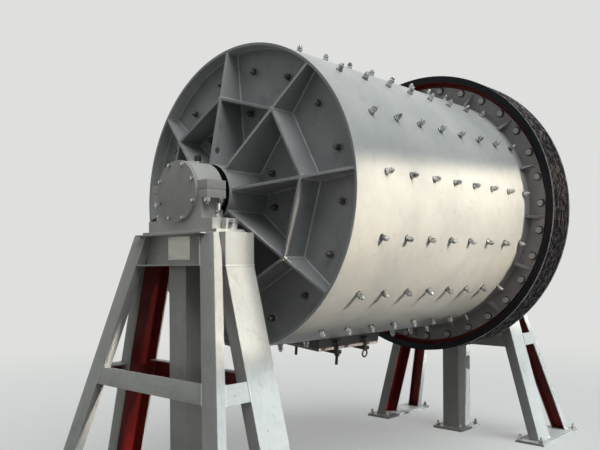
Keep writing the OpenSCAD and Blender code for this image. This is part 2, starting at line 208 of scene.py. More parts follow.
def softbox(name, strength, code, top_middle, width, height, shines=True):
    """A softbox with a grid, which lights only what lies behind its frame, and hangs from its top middle."""
    made = lamp(name, "AREA", strength * width * height, code, softbox_way)
    made.data.shape = "RECTANGLE"
    made.data.size = width
    made.data.size_y = height
    made.data.spread = grid_spread
    down = made.rotation_euler.to_matrix() @ Vector((0, -height / 2, 0))
    made.location = Vector(top_middle) + softbox_way * softbox_distance + down
    made.visible_camera = False
    made.visible_glossy = shines
    made.light_linking.receiver_collection = off_softboxes


softbox("drum_softbox", 4.5, "#FFF0DA", top_middle=(0.09, -0.87, 2.02), width=2.42, height=0.92)
for name, x in (("near_trestle_softbox", -1.85), ("far_trestle_softbox", 1.85)):
    softbox(name, 5.0, "#F8F2E6", top_middle=(x, -0.60, 1.74), width=0.95, height=0.72, shines=False)
low_place = (-0.15, -0.87, 1.14)
softbox("low_softbox", 4.6, "#E0EAF0", top_middle=low_place, width=4.50, height=1.40, shines=False)

# Drum shell: one rolled and welded cylinder of 16 mm plate, sprayed with light grey gloss enamel.
# The coat is even from afar, with faint clouds, a little grime and the slack of the plate in its reflections.
mm = 0.001
axis_z = frame["joints"][0]["pos_m"][2]
shell_low, shell_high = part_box("shell")
shell_r = (shell_high.y - shell_low.y) / 2
shell_t = 16 * mm
near_rim, far_rim = shell_low.x, shell_high.x
crease = math.radians(32)


def enamel(name, code, thin_code, grime_code, rough, grime=0.35, ior=1.5, strokes=None):
    """Alkyd enamel on steel: clouds or strokes where the coat is thin, a few grimy patches and chips."""
    cloud, smear, chip_cell, orange_peel, plate_wave = 385 * mm, 111 * mm, 91 * mm, 4.17 * mm, 250 * mm
    paint, tree, where = new_material(name)
    clouds = add(
        tree,
        "ShaderNodeTexNoise",
        {"Vector": where, "Scale": 1 / cloud, "Detail": 6.0, "Roughness": 0.62},
    )
    stroke_scale = [1 / size for size in strokes] if strokes else (0, 0, 0)
    drawn_out = add(tree, "ShaderNodeMapping", {"Vector": where, "Scale": stroke_scale})
    bristles = add(tree, "ShaderNodeTexNoise", {"Vector": drawn_out, "Scale": 1.0, "Detail": 3.0})
    uneven = add(tree, "ShaderNodeMath", {0: bristles, 1: 0.35, 2: clouds}, operation="MULTIPLY_ADD")
    thin = add(
        tree,
        "ShaderNodeMapRange",
        {"Value": uneven, "From Min": 0.55, "From Max": 0.85, "To Max": 0.9},
    )
    coat = add(
        tree,
        "ShaderNodeMix",
        {"Factor": thin, "A": colour(code), "B": colour(thin_code)},
        data_type="RGBA",
    )
    smears = add(
        tree,
        "ShaderNodeTexNoise",
        {"Vector": where, "Scale": 1 / smear, "Detail": 8.0, "Roughness": 0.72, "Distortion": 0.6},
    )
    dirt = add(
        tree,
        "ShaderNodeMapRange",
        {"Value": smears, "From Min": 0.56, "From Max": 0.78, "To Max": grime},
    )
    dirty = add(
        tree,
        "ShaderNodeMix",
        {"Factor": dirt, "A": coat, "B": colour(grime_code)},
        data_type="RGBA",
    )
    # A chip is up to 8 mm across, where the surface passes through the middle of a cell.
    cells = add(tree, "ShaderNodeTexVoronoi", {"Vector": where, "Scale": 1 / chip_cell, "Randomness": 1.0})
    chips = add(tree, "ShaderNodeMapRange", {"Value": cells, "From Min": 0.045, "From Max": 0.03})
    chipped = add(
        tree,
        "ShaderNodeMix",
        {"Factor": chips, "A": dirty, "B": colour(grime_code)},
        data_type="RGBA",
    )
    sheen = add(
        tree,
        "ShaderNodeMapRange",
        {"Value": smears, "From Min": 0.35, "From Max": 0.75, "To Min": rough, "To Max": rough + 0.16},
    )
    peel = add(tree, "ShaderNodeTexNoise", {"Vector": where, "Scale": 1 / orange_peel, "Detail": 2.0})
    waves = add(tree, "ShaderNodeTexNoise", {"Vector": where, "Scale": 1 / plate_wave, "Detail": 1.0})
    peeled = add(tree, "ShaderNodeBump", {"Height": peel, "Strength": 0.12, "Distance": 0.4 * mm})
    waved = add(
        tree,
        "ShaderNodeBump",
        {"Height": waves, "Strength": 0.35, "Distance": 8 * mm, "Normal": peeled},
    )
    brushed = add(
        tree,
        "ShaderNodeBump",
        {"Height": bristles, "Strength": 0.3, "Distance": 1 * mm, "Normal": waved},
    )
    surface = add(
        tree,
        "ShaderNodeBsdfPrincipled",
        {"Base Color": chipped, "Roughness": sheen, "Normal": brushed, "IOR": ior},
    )
    add(tree, "ShaderNodeOutputMaterial", {"Surface": surface})
    return paint


def soften(mesh):
    """Smooth shading, but across creases."""
    mesh.polygons.foreach_set("use_smooth", [True] * len(mesh.polygons))
    mesh.set_sharp_from_angle(angle=crease)


def piece(name, mesh, body):
    """Stands a mesh in the scene, on the body that it moves with."""
    made = bpy.data.objects.new(name, mesh)
    scene.collection.objects.link(made)
    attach(made, body)
    return made


def finished(node, paints, edge=2 * mm, coat=None):
    """Stands a merged copy of a solid in its place, its sharp edges broken and its coats on."""
    source = frame["nodes"][node]
    shape = bmesh.new()
    shape.from_mesh(source.data)
    bmesh.ops.remove_doubles(shape, verts=shape.verts, dist=0.02 * mm)
    for face in shape.faces:
        face.material_index = coat(face.calc_center_median(), face.normal) if coat else 0
    bmesh.ops.dissolve_limit(
        shape,
        angle_limit=math.radians(0.5),
        verts=shape.verts,
        edges=shape.edges,
        delimit={"MATERIAL"},
    )
    bmesh.ops.bevel(
        shape,
        geom=[e for e in shape.edges if e.is_manifold and e.calc_face_angle() > crease],
        offset=edge,
        offset_type="OFFSET",
        segments=2,
        profile=0.7,
        affect="EDGES",
        clamp_overlap=True,
    )
    if coat:
        for face in shape.faces:
            face.material_index = coat(face.calc_center_median(), face.normal)
    mesh = bpy.data.meshes.new(node + "_finished")
    shape.to_mesh(mesh)
    shape.free()
    soften(mesh)
    for paint in paints:
        mesh.materials.append(paint)
    made = piece(mesh.name, mesh, source["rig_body"])
    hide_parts(node)
    return made


# Sprayed gloss enamel gives the shell a clear sheen, and brushed enamel leaves its ends duller and dirtier.
shell_enamel = enamel("light_grey_gloss_enamel", "#CBCDCB", "#B6B9B9", "#8A877F", rough=0.28)
# The ends' grey is set darker than the shell's, which paints in part the shade the ribbed ends stand in.
end_enamel = enamel("brushed_grey_enamel", "#A6A7A6", "#8F9294", "#57524B", rough=0.4, grime=0.55)


def shell_coat(centre, normal):
    """The cut ends of the cylinder have the paint of the drum's ends."""
    return int(abs(normal.x) > 0.98)


finished("shell", [shell_enamel, end_enamel], coat=shell_coat)

# Liner bolts: 16 rows of eight M20 studs that hold the lining, each with a black seal that also paints the
# shade at its foot, a washer and two nuts.
# Studs, washers and nuts are zinc-plated. They are left out where the manhole takes their place.
rows, per_row = 16, 8
first_row_turn = math.radians(5.7)
first_bolt_inset, bolt_pitch = 264 * mm, 239.4 * mm
m20_r, m20_corner_r = 10 * mm, 17.3 * mm
manhole_low, manhole_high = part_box("manhole_cover")
manhole_turn, manhole_half_turn = math.radians(360 - 95.5), math.radians(15)


def bare_metal(name, code, dull_code, rough, metal=1.0, grain=(26.3 * mm, 26.3 * mm, 26.3 * mm)):
    """Bare or plated metal: a cool sheen that is duller and browner in patches or along the grain."""
    plating, tree, where = new_material(name)
    drawn_out = add(tree, "ShaderNodeMapping", {"Vector": where, "Scale": [1 / size for size in grain]})
    handled = add(tree, "ShaderNodeTexNoise", {"Vector": drawn_out, "Scale": 1.0, "Detail": 5.0})
    dull = add(tree, "ShaderNodeMapRange", {"Value": handled, "From Min": 0.42, "From Max": 0.7})
    tint = add(
        tree,
        "ShaderNodeMix",
        {"Factor": dull, "A": colour(code), "B": colour(dull_code)},
        data_type="RGBA",
    )
    sheen = add(
        tree,
        "ShaderNodeMapRange",
        {"Value": handled, "From Min": 0.3, "From Max": 0.7, "To Min": rough, "To Max": rough + 0.2},
    )
    surface = add(
        tree,
        "ShaderNodeBsdfPrincipled",
        {"Base Color": tint, "Metallic": metal, "Roughness": sheen},
    )
    add(tree, "ShaderNodeOutputMaterial", {"Surface": surface})
    return plating


def turned(name, parts, out):
    """A mesh of parts round one axis that points along out.

    Each part is its number of sides and its outline, a list of (height, radius).
    """
    shape = bmesh.new()
    for sides, outline in parts:
        turns = [math.tau * i / sides for i in range(sides)]
        rings = [[shape.verts.new((r * math.cos(t), r * math.sin(t), h)) for t in turns] for h, r in outline]
        for low, high in zip(rings, rings[1:]):
            for i in range(sides):
                j = (i + 1) % sides
                shape.faces.new((low[i], low[j], high[j], high[i]))
        shape.faces.new(rings[0][::-1])
        shape.faces.new(rings[-1])
    turn = Vector((0, 0, 1)).rotation_difference(Vector(out)).to_matrix().to_4x4()
    bmesh.ops.transform(shape, matrix=turn, verts=shape.verts)
    mesh = bpy.data.meshes.new(name)
    shape.to_mesh(mesh)
    shape.free()
    soften(mesh)
    return mesh


def washer(low, thick, radius):
    """A washer from this height up, with a small lip round its top."""
    lip = 0.8 * mm
    return 28, [(low, radius), (low + thick - lip, radius), (low + thick, radius - lip)]


def nut(low, high, corner_r):
    """A hexagon nut between two heights, its corners turned down at both ends."""
    lip = 2 * mm
    return 6, [(low, corner_r * 0.93), (low + lip, corner_r), (high - lip, corner_r), (high, corner_r * 0.93)]


def thread(low, high, radius, pitch=3 * mm):
    """A stud between two heights, with its thread as a row of ridges."""
    ridges = int((high - low) / pitch)
    outline = [(low, radius)]
    for i in range(ridges):
        outline += [(low + (i + 0.5) * pitch, radius * 0.92), (low + (i + 1) * pitch, radius)]
    return 14, outline + [(high + pitch / 2, radius * 0.8)]


def new_group(name, inputs):
    """A node group with these inputs, by the kind of their sockets, that gives out one geometry."""
    made = bpy.data.node_groups.new(name, "GeometryNodeTree")
    for kind, labels in inputs.items():
        for label in labels:
            made.interface.new_socket(name=label, in_out="INPUT", socket_type=kind)
    made.interface.new_socket(name="Geometry", in_out="OUTPUT", socket_type="NodeSocketGeometry")
    return made


# Bolts in rows round the drum's axis. A bare patch, given by its middle and half its sizes, has none.
row_sizes = ["First X", "Pitch", "Radius", "First Turn", "Axis Height"]
bare_sizes = ["Bare X", "Bare Half Length", "Bare Turn", "Bare Half Turn"]
round_drum = new_group(
    "rows_round_the_drum",
    {
        "NodeSocketObject": ["Bolt"],
        "NodeSocketMaterial": ["Finish"],
        "NodeSocketInt": ["Rows", "Per Row"],
        "NodeSocketFloat": row_sizes + bare_sizes,
    },
)
given = add(round_drum, "NodeGroupInput").outputs
total = add(round_drum, "ShaderNodeMath", {0: given["Rows"], 1: given["Per Row"]}, operation="MULTIPLY")
number = add(round_drum, "GeometryNodeInputIndex")
share = add(round_drum, "ShaderNodeMath", {0: number, 1: given["Per Row"]}, operation="DIVIDE")
row = add(round_drum, "ShaderNodeMath", {0: share}, operation="FLOOR")
before_row = add(round_drum, "ShaderNodeMath", {0: row, 1: given["Per Row"]}, operation="MULTIPLY")
in_row = add(round_drum, "ShaderNodeMath", {0: number, 1: before_row}, operation="SUBTRACT")
along = add(
    round_drum,
    "ShaderNodeMath",
    {0: in_row, 1: given["Pitch"], 2: given["First X"]},
    operation="MULTIPLY_ADD",
)
step = add(round_drum, "ShaderNodeMath", {0: math.tau, 1: given["Rows"]}, operation="DIVIDE")
angle = add(
    round_drum,
    "ShaderNodeMath",
    {0: row, 1: step, 2: given["First Turn"]},
    operation="MULTIPLY_ADD",
)
cosine = add(round_drum, "ShaderNodeMath", {0: angle}, operation="COSINE")
towards_camera = add(round_drum, "ShaderNodeMath", {0: given["Radius"], 1: -1.0}, operation="MULTIPLY")
across = add(round_drum, "ShaderNodeMath", {0: cosine, 1: towards_camera}, operation="MULTIPLY")
sine = add(round_drum, "ShaderNodeMath", {0: angle}, operation="SINE")
up = add(
    round_drum,
    "ShaderNodeMath",
    {0: sine, 1: given["Radius"], 2: given["Axis Height"]},
    operation="MULTIPLY_ADD",
)
place = add(round_drum, "ShaderNodeCombineXYZ", {"X": along, "Y": across, "Z": up})
points = add(round_drum, "GeometryNodePoints", {"Count": total, "Position": place})
outside = []
for value, middle, half in ((along, "Bare X", "Bare Half Length"), (angle, "Bare Turn", "Bare Half Turn")):
    way_off = add(round_drum, "ShaderNodeMath", {0: value, 1: given[middle]}, operation="SUBTRACT")
    off = add(round_drum, "ShaderNodeMath", {0: way_off}, operation="ABSOLUTE")
    outside.append(add(round_drum, "ShaderNodeMath", {0: off, 1: given[half]}, operation="GREATER_THAN"))
kept = add(round_drum, "ShaderNodeMath", {0: outside[0], 1: outside[1]}, operation="MAXIMUM")
backwards = add(round_drum, "ShaderNodeMath", {0: angle, 1: -1.0}, operation="MULTIPLY")
facing = add(round_drum, "ShaderNodeCombineXYZ", {"X": backwards})
turn_to = add(round_drum, "FunctionNodeEulerToRotation", {0: facing})
bolt_info = add(round_drum, "GeometryNodeObjectInfo", {"Object": given["Bolt"], "As Instance": True})
standing = add(
    round_drum,
    "GeometryNodeInstanceOnPoints",
    {"Points": points, "Selection": kept, "Instance": bolt_info.outputs["Geometry"], "Rotation": turn_to},
)
real = add(round_drum, "GeometryNodeRealizeInstances", {0: standing})
coated = add(round_drum, "GeometryNodeSetMaterial", {"Geometry": real, "Material": given["Finish"]})
add(round_drum, "NodeGroupOutput", {0: coated})


def grown(name, tree, body, slot, start=None, **sizes):
    """Runs a node tree once, with these sizes, and keeps its result as a plain mesh on a body."""
    seed = bpy.data.objects.new(name + "_seed", start or bpy.data.meshes.new(name + "_seed"))
    scene.collection.objects.link(seed)
    modifier = seed.modifiers.new("grown", "NODES")
    modifier.node_group = tree
    for item in tree.interface.items_tree:
        key = item.name.lower().replace(" ", "_")
        if item.in_out == "INPUT" and key in sizes:
            modifier[item.identifier] = sizes[key]
    result = seed.evaluated_get(bpy.context.evaluated_depsgraph_get())
    mesh = bpy.data.meshes.new_from_object(result)
    mesh.name = name
    bpy.data.objects.remove(seed)
    piece(name, mesh, body)


def bolt_ring(name, bolt, finish, slot, **sizes):
    """Rows of like bolts round the drum's axis, which turn with it. By default a row is one bolt."""
    pattern = bpy.data.objects.new(name + "_bolt", bolt)
    sizes = {"per_row": 1, "axis_height": axis_z} | sizes
    grown(name, round_drum, "drum", slot, bolt=pattern, finish=finish, **sizes)
    bpy.data.objects.remove(pattern)


# Zinc plating is a bright pale grey, dark where oil and dust have settled. Rubber is black and dull, and also
# paints shade.
zinc = bare_metal("bright_zinc_plating", "#C6C8C6", "#45423E", rough=0.24, metal=0.9)
seal_rubber_and_shade = enamel("black_seal_rubber", "#1B1A19", "#151413", "#2E2A26", rough=0.62, grime=0.4)
liner_bolt = turned(
    "liner_bolt",
    [
        washer(4 * mm, thick=3 * mm, radius=18 * mm),
        nut(7 * mm, 23 * mm, m20_corner_r),
        thread(22 * mm, 27 * mm, m20_r),
        nut(26 * mm, 36 * mm, m20_corner_r),
        thread(36 * mm, 46 * mm, m20_r),
    ],
    (0, -1, 0),
)
# The seal's black ring also paints the shade where each bolt stands on the shell.
liner_seal = turned("liner_seal", [(24, [(0, 20 * mm), (3 * mm, 20 * mm), (4 * mm, 19 * mm)])], (0, -1, 0))
for name, shape, finish in (("liner_bolts", liner_bolt, zinc), ("liner_seals", liner_seal, seal_rubber_and_shade)):
    bolt_ring(
        name,
        shape,
        finish,
        "pulley_iron",
        rows=rows,
        per_row=per_row,
        first_x=near_rim + first_bolt_inset,
        pitch=bolt_pitch,
        radius=shell_r,
        first_turn=first_row_turn,
        bare_x=(manhole_low.x + manhole_high.x) / 2,
        bare_half_length=(manhole_high.x - manhole_low.x) / 2,
        bare_turn=manhole_turn,
        bare_half_turn=manhole_half_turn,
    )

# Drum ends: each is a 20 mm plate set back inside the shell, with eight ribs, an octagon of plates and a hub.
# They are cut from plate, welded and brushed over with grey enamel. Each end has three circles of bolts.
plate_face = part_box("near_end_plate")[0].x
hub_low, hub_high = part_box("near_hub")
hub_r = (hub_high.y - hub_low.y) / 2
hub_proud = 216 * mm
hub_face_x = near_rim - hub_proud
shell_in_r = shell_r - shell_t
ribs, first_rib_turn = 8, first_row_turn
rib_thick, rib_proud, rib_inset = 16 * mm, 200 * mm, 3 * mm
ring_r = 585 * mm
journal_shrink = 0.998

# Paler enamel on the welds is a painted highlight. Turned steel is bright; the hub's dull black end is
# painted shade.
weld_highlight_enamel = enamel("enamel_over_weld", "#D0D2D1", "#A5A7A7", "#5C5851", rough=0.3, grime=0.8)
bare_steel = bare_metal("turned_shaft_steel", "#A9A7A2", "#7C766E", rough=0.3)
hub_end_shade_black = enamel("black_bearing_grease", "#0F0E0C", "#161411", "#080706", rough=0.55, grime=0.6, ior=1.2)


def hub_coat(centre, normal):
    """The tube is painted, its end is black as painted shade in the gap, and the journal is bare steel."""
    beyond = abs(centre.x) - abs(hub_face_x)
    if beyond < -mm:
        return 0
    return 2 if beyond < mm else 1


for end in ("near", "far"):
    for part in ("end_plate", "ribs", "ring_plates"):
        finished(f"{end}_{part}", [end_enamel])
    hub = finished(f"{end}_hub", [end_enamel, bare_steel, hub_end_shade_black], coat=hub_coat)
    # The facets of the journal stand back by 0.2 mm, so that they clear those of the bore at every turn.
    for corner in hub.data.vertices:
        if abs(corner.co.x) > abs(hub_face_x) + 3 * mm:
            corner.co.y *= journal_shrink
            corner.co.z = axis_z + (corner.co.z - axis_z) * journal_shrink

# A weld bead follows each seam. Its ripples are uneven, and it was laid in fat runs with thin ones between.
ripple_pitch = 10 * mm
runs_per_metre = 7.0
bead = new_group(
    "weld_bead",
    {
        "NodeSocketGeometry": ["Geometry"],
        "NodeSocketFloat": ["Bead Radius", "Ripple"],
        "NodeSocketMaterial": ["Finish"],
    },
)
laid = add(bead, "NodeGroupInput").outputs
seam_lines = add(bead, "GeometryNodeMeshToCurve", {"Mesh": laid["Geometry"]})
stepped = add(bead, "GeometryNodeResampleCurve", {"Curve": seam_lines, "Length": ripple_pitch}, mode="LENGTH")
thinnest = add(bead, "ShaderNodeMath", {0: 1.0, 1: laid["Ripple"]}, operation="SUBTRACT")
fattest = add(bead, "ShaderNodeMath", {0: 1.0, 1: laid["Ripple"]}, operation="ADD")
ripple = add(
    bead,
    "FunctionNodeRandomValue",
    {"Min": thinnest, "Max": fattest, "Seed": 7},
    data_type="FLOAT",
)
bead_place = add(bead, "GeometryNodeInputPosition")
stops = add(bead, "ShaderNodeTexNoise", {"Vector": bead_place, "Scale": runs_per_metre, "Detail": 1.0})
runs = add(bead, "ShaderNodeMapRange", {"Value": stops, "From Min": 0.46, "From Max": 0.54, "To Min": 0.35})
bead_size = add(bead, "ShaderNodeMath", {0: ripple, 1: runs}, operation="MULTIPLY")
swollen = add(bead, "GeometryNodeSetCurveRadius", {"Curve": stepped, "Radius": bead_size})
bead_round = add(bead, "GeometryNodeCurvePrimitiveCircle", {"Resolution": 6, "Radius": laid["Bead Radius"]})
drawn = add(
    bead,
    "GeometryNodeCurveToMesh",
    {"Curve": swollen, "Profile Curve": bead_round, "Fill Caps": True},
)
smooth_bead = add(bead, "GeometryNodeSetShadeSmooth", {"Geometry": drawn})
real_bead = add(bead, "GeometryNodeRealizeInstances", {0: smooth_bead})
coated_bead = add(bead, "GeometryNodeSetMaterial", {"Geometry": real_bead, "Material": laid["Finish"]})
add(bead, "NodeGroupOutput", {0: coated_bead})


def welds(name, seams, body, finish, slot, radius=7 * mm):
    """Weld beads along seams, each a list of points."""
    corners, edges = [], []
    for seam in seams:
        first = len(corners)
        corners += [tuple(p) for p in seam]
        edges += [(first + i, first + i + 1) for i in range(len(seam) - 1)]
    start = bpy.data.meshes.new(name + "_seams")
    start.from_pydata(corners, edges, [])
    grown(name, bead, body, slot, start=start, bead_radius=radius, ripple=0.25, finish=finish)


def on_drum(x, radius, turn, aside=0.0):
    """A point of the drum at this turn above the horizontal, moved aside square to its radius."""
    across = Vector((0, -math.cos(turn), math.sin(turn)))
    square = Vector((0, math.sin(turn), math.cos(turn)))
    return Vector((x, 0, axis_z)) + across * radius + square * aside


def rib_front(radius):
    """Where the sloping front edge of a near rib is at this radius."""
    return near_rim - rib_proud * (shell_in_r - radius) / (shell_in_r - hub_r)


def circle(x, radius, steps=120):
    """A closed seam round the drum's axis."""
    return [on_drum(x, radius, math.tau * i / steps) for i in range(steps + 1)]


half_bay = math.pi / ribs
apothem = ring_r * math.cos(half_bay)
end_seams = [circle(plate_face, shell_in_r)]
for i in range(ribs):
    turn = first_rib_turn + i * math.tau / ribs
    for side in (-rib_thick / 2, rib_thick / 2):
        end_seams += [
            [on_drum(plate_face, r, turn, side) for r in (hub_r, shell_in_r)],
            [on_drum(x, hub_r, turn, side) for x in (plate_face, rib_front(hub_r))],
            [on_drum(x, shell_in_r, turn, side) for x in (plate_face, near_rim + rib_inset)],
        ]
        bay = turn + half_bay
        flat = apothem + side
        reach = flat * math.tan(half_bay) - rib_thick / 2
        end_seams.append([on_drum(plate_face, flat, bay, s * reach) for s in (-1, 1)])
        for s in (-1, 1):
            end_seams.append([on_drum(x, flat, bay, s * reach) for x in (plate_face, rib_front(ring_r))])
far_end_seams = [[(-x, y, z) for x, y, z in seam] for seam in end_seams]
welds("near_end_welds", end_seams, "drum", weld_highlight_enamel, "end_paint")
welds("far_end_welds", far_end_seams, "drum", weld_highlight_enamel, "end_paint")

# The bolts' washers were painted thinly, and their nuts are black steel that shines a little with oil.
washer_enamel = enamel("thin_enamel_on_washers", "#B4B5B4", "#8A8B8C", "#3A3733", rough=0.3, grime=0.8)
oil_spot = (11.1 * mm, 11.1 * mm, 11.1 * mm)
blackened_steel = bare_metal(
    "blackened_oily_steel", "#6E6C69", "#1E1C1A", rough=0.3, metal=0.7, grain=oil_spot
)
m24_r, m24_corner_r = 12 * mm, 20.8 * mm
plate_fixings = [nut(5 * mm, 25 * mm, m24_corner_r), thread(25 * mm, 42 * mm, m24_r)]
# Each circle of bolts has a count and a radius, and starts half a pitch past the first rib.
plate_circles = {"outer": (16, 750 * mm), "middle": (16, 500 * mm), "inner": (8, 260 * mm)}
for end, out in (("near", -1), ("far", 1)):
    plate_bolt = turned(f"{end}_plate_bolt", plate_fixings, (out, 0, 0))
    plate_washer = turned(f"{end}_plate_washer", [washer(0, thick=5 * mm, radius=27 * mm)], (out, 0, 0))
    kinds = ("bolts", plate_bolt, blackened_steel), ("washers", plate_washer, washer_enamel)
    for ring_name, (count, radius) in plate_circles.items():
        for kind, shape, finish in kinds:
            bolt_ring(
                f"{end}_{ring_name}_plate_{kind}",
                shape,
                finish,
                "end_paint",
                rows=count,
                first_x=-out * plate_face,
                radius=radius,
                first_turn=first_rib_turn + math.pi / count,
            )

# Drive flange: a ring of 30 mm plate welded round the shell, stiffened by sixteen gussets on the drum's side.
# It is brushed over with grey enamel, darkened as painted shade. Its 32 bolt heads are painted paler as
# painted highlight, over black rings of painted shadow.
flange_inset = 165 * mm
flange_face = far_rim - flange_inset
gussets, gusset_long, gusset_high = 16, 65 * mm, 100 * mm
gusset_lag = math.radians(1.2)
first_gusset_turn = first_rib_turn + gusset_lag + math.pi / gussets
flange_circle = {"rows": 32, "radius": 986 * mm, "first_turn": math.radians(12.8)}
# The coat is thin, so that the red primer below it shades the grime.
# The flange's grey is set darker than the shell's, in part painted shade.
flange_enamel = enamel("dark_brushed_grey_enamel", "#A09C9B", "#888586", "#5A3432", rough=0.4, grime=0.7)
# The paler paint on the bolt heads is a painted highlight.
bolt_head_highlight_enamel = enamel("worn_enamel_on_bolt_heads", "#C6C5C2", "#B0AFAC", "#5B5751", rough=0.34, grime=0.6)
finished("drive_flange", [flange_enamel])
flange_seams = [circle(flange_face, shell_r)]
for i in range(gussets):
    for side in (-rib_thick / 2, rib_thick / 2):
        turn = first_gusset_turn + i * math.tau / gussets
        flange_seams += [
            [on_drum(x, shell_r, turn, side) for x in (flange_face, flange_face - gusset_long)],
            [on_drum(flange_face, r, turn, side) for r in (shell_r, shell_r + gusset_high)],
        ]
welds("flange_welds", flange_seams, "drum", flange_enamel, "flange_paint", 4.5 * mm)
round_head = 24, [(4 * mm, 22 * mm), (19 * mm, 22 * mm), (21 * mm, 20 * mm)]
flange_bolt = turned("flange_bolt", [round_head], (-1, 0, 0))
# The black rings under the bolt heads are painted shadow.
flange_washer = turned("flange_washer", [washer(0, thick=4 * mm, radius=29 * mm)], (-1, 0, 0))
bolt_heads = ("flange_bolts", flange_bolt, bolt_head_highlight_enamel), ("flange_washers", flange_washer, seal_rubber_and_shade)
for name, shape, finish in bolt_heads:
    bolt_ring(name, shape, finish, "flange_paint", first_x=flange_face, **flange_circle)

# Drive ring: a cast rim with ten V-belt grooves, turned on its outside, on a web that bolts to the flange.
# The grooves are bare oily iron, the sides black between bright turned corners, and the inside red primer.
rim_low, rim_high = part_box("drive_rim")
rim_out_r = (rim_high.y - rim_low.y) / 2
rim_thick = 50 * mm
rim_in_r = rim_out_r - rim_thick
web_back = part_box("drive_web")[1].x


def worn_groove_iron(name, worn_code, oily_code, wear_depth):
    """Iron that belts have rubbed: grey streaks on the crests of the grooves, black oil and dust in them."""
    streak_width, streak_length = 7.14 * mm, 35.7 * mm
    iron, tree, where = new_material(name)
    off_axis = add(
        tree,
        "ShaderNodeMapping",
        {"Vector": where, "Location": (0, 0, -axis_z), "Scale": (0, 1, 1)},
    )
    height = add(tree, "ShaderNodeVectorMath", {0: off_axis}, operation="LENGTH")
    crest = add(
        tree,
        "ShaderNodeMapRange",
        {"Value": height, "From Min": rim_out_r - wear_depth, "From Max": rim_out_r - 0.5 * mm},
    )
    streak_scale = (1 / streak_width, 1 / streak_length, 1 / streak_length)
    drawn_out = add(tree, "ShaderNodeMapping", {"Vector": where, "Scale": streak_scale})
    streaks = add(tree, "ShaderNodeTexNoise", {"Vector": drawn_out, "Scale": 1.0, "Detail": 3.0})
    bright = add(tree, "ShaderNodeMapRange", {"Value": streaks, "From Min": 0.46, "From Max": 0.66})
    rubbed = add(tree, "ShaderNodeMath", {0: crest, 1: bright}, operation="MULTIPLY")
    tint = add(
        tree,
        "ShaderNodeMix",
        {"Factor": rubbed, "A": colour(oily_code), "B": colour(worn_code)},
        data_type="RGBA",
    )
    sheen = add(tree, "ShaderNodeMapRange", {"Value": rubbed, "To Min": 0.5, "To Max": 0.26})
    torn = add(tree, "ShaderNodeBump", {"Height": streaks, "Strength": 0.5, "Distance": 0.5 * mm})
    surface = add(
        tree,
        "ShaderNodeBsdfPrincipled",
        {"Base Color": tint, "Metallic": 0.7, "Roughness": sheen, "Normal": torn},
    )
    add(tree, "ShaderNodeOutputMaterial", {"Surface": surface})
    return iron


def rim_coat(centre, normal):
    """Grooves bare, sides black, inside red, and the two outer corners bright."""
    at_side = min(centre.x - rim_low.x, rim_high.x - centre.x) < 2 * mm
    if at_side and abs(normal.x) > 0.98:
        return 1
    if math.hypot(centre.y, centre.z - axis_z) < rim_in_r + 2 * mm:
        return 2
    return 3 if at_side and abs(normal.x) > 0.02 else 0


# The sides' blue-black is darker than their dark grey paint, painted shade, with a weak sheen. The primer is
# matt, and the turned corners are bright lines.
groove_iron = worn_groove_iron("belt_worn_groove_iron", "#7F777B", "#0B0A0A", wear_depth=4 * mm)
rim_black = enamel("blue_black_enamel", "#12151A", "#0E1115", "#24211E", rough=0.45, grime=0.3, ior=1.25)
red_primer = enamel("red_oxide_primer", "#720B06", "#560905", "#2C0E0A", rough=0.55, grime=0.5)
bright_edge = bare_metal("bright_turned_edge", "#D5D3CE", "#A9A49C", rough=0.3)
rim_coats = [groove_iron, rim_black, red_primer, bright_edge]
finished("drive_rim", rim_coats, edge=1.4 * mm, coat=rim_coat)
finished("drive_web", [red_primer])
web_nut = turned(
    "web_nut",
    [
        washer(0, thick=4 * mm, radius=27 * mm),
        nut(4 * mm, 24 * mm, 24 * mm),
        thread(24 * mm, 32 * mm, 14 * mm),
    ],
    (1, 0, 0),
)
bolt_ring("web_nuts", web_nut, zinc, "pulley_iron", first_x=web_back, **flange_circle)

# Manhole: a rectangular neck let into the shell with a flat cover, held by two clamp bars on bolts.
# The cover has the flange's enamel, the neck's dark grey is painted shade under the drum, and the bars and
# bolts are black, oily steel.
clamp_edge = 1 * mm


def drawn_bar(name, code, dark_code, metal):
    """Drawn steel bar gone brown and black under oil, with fine marks along it."""
    # The die leaves marks about 0.5 mm apart, put here at 5 mm so that they show.
    mark_pitch, mark_length, oil_patch = 5 * mm, 500 * mm, 71.4 * mm
    bar, tree, where = new_material(name)
    mark_scale = (1 / mark_pitch, 1 / mark_length, 1 / mark_length)
    drawn_out = add(tree, "ShaderNodeMapping", {"Vector": where, "Scale": mark_scale})
    marks = add(tree, "ShaderNodeTexNoise", {"Vector": drawn_out, "Scale": 1.0, "Detail": 2.0})
    oil = add(
        tree,
        "ShaderNodeTexNoise",
        {"Vector": where, "Scale": 1 / oil_patch, "Detail": 7.0, "Roughness": 0.7},
    )
    oily = add(tree, "ShaderNodeMapRange", {"Value": oil, "From Min": 0.38, "From Max": 0.66})
    tint = add(
        tree,
        "ShaderNodeMix",
        {"Factor": oily, "A": colour(code), "B": colour(dark_code)},
        data_type="RGBA",
    )
    sheen = add(
        tree,
        "ShaderNodeMapRange",
        {"Value": oil, "From Min": 0.3, "From Max": 0.7, "To Min": 0.5, "To Max": 0.3},
    )
    marked = add(tree, "ShaderNodeBump", {"Height": marks, "Strength": 0.35, "Distance": 0.4 * mm})
    surface = add(
        tree,
        "ShaderNodeBsdfPrincipled",
        {"Base Color": tint, "Metallic": metal, "Roughness": sheen, "Normal": marked},
    )
    add(tree, "ShaderNodeOutputMaterial", {"Surface": surface})
    return bar


clamp_steel = drawn_bar("oiled_black_steel", "#3A3531", "#171412", metal=0.6)
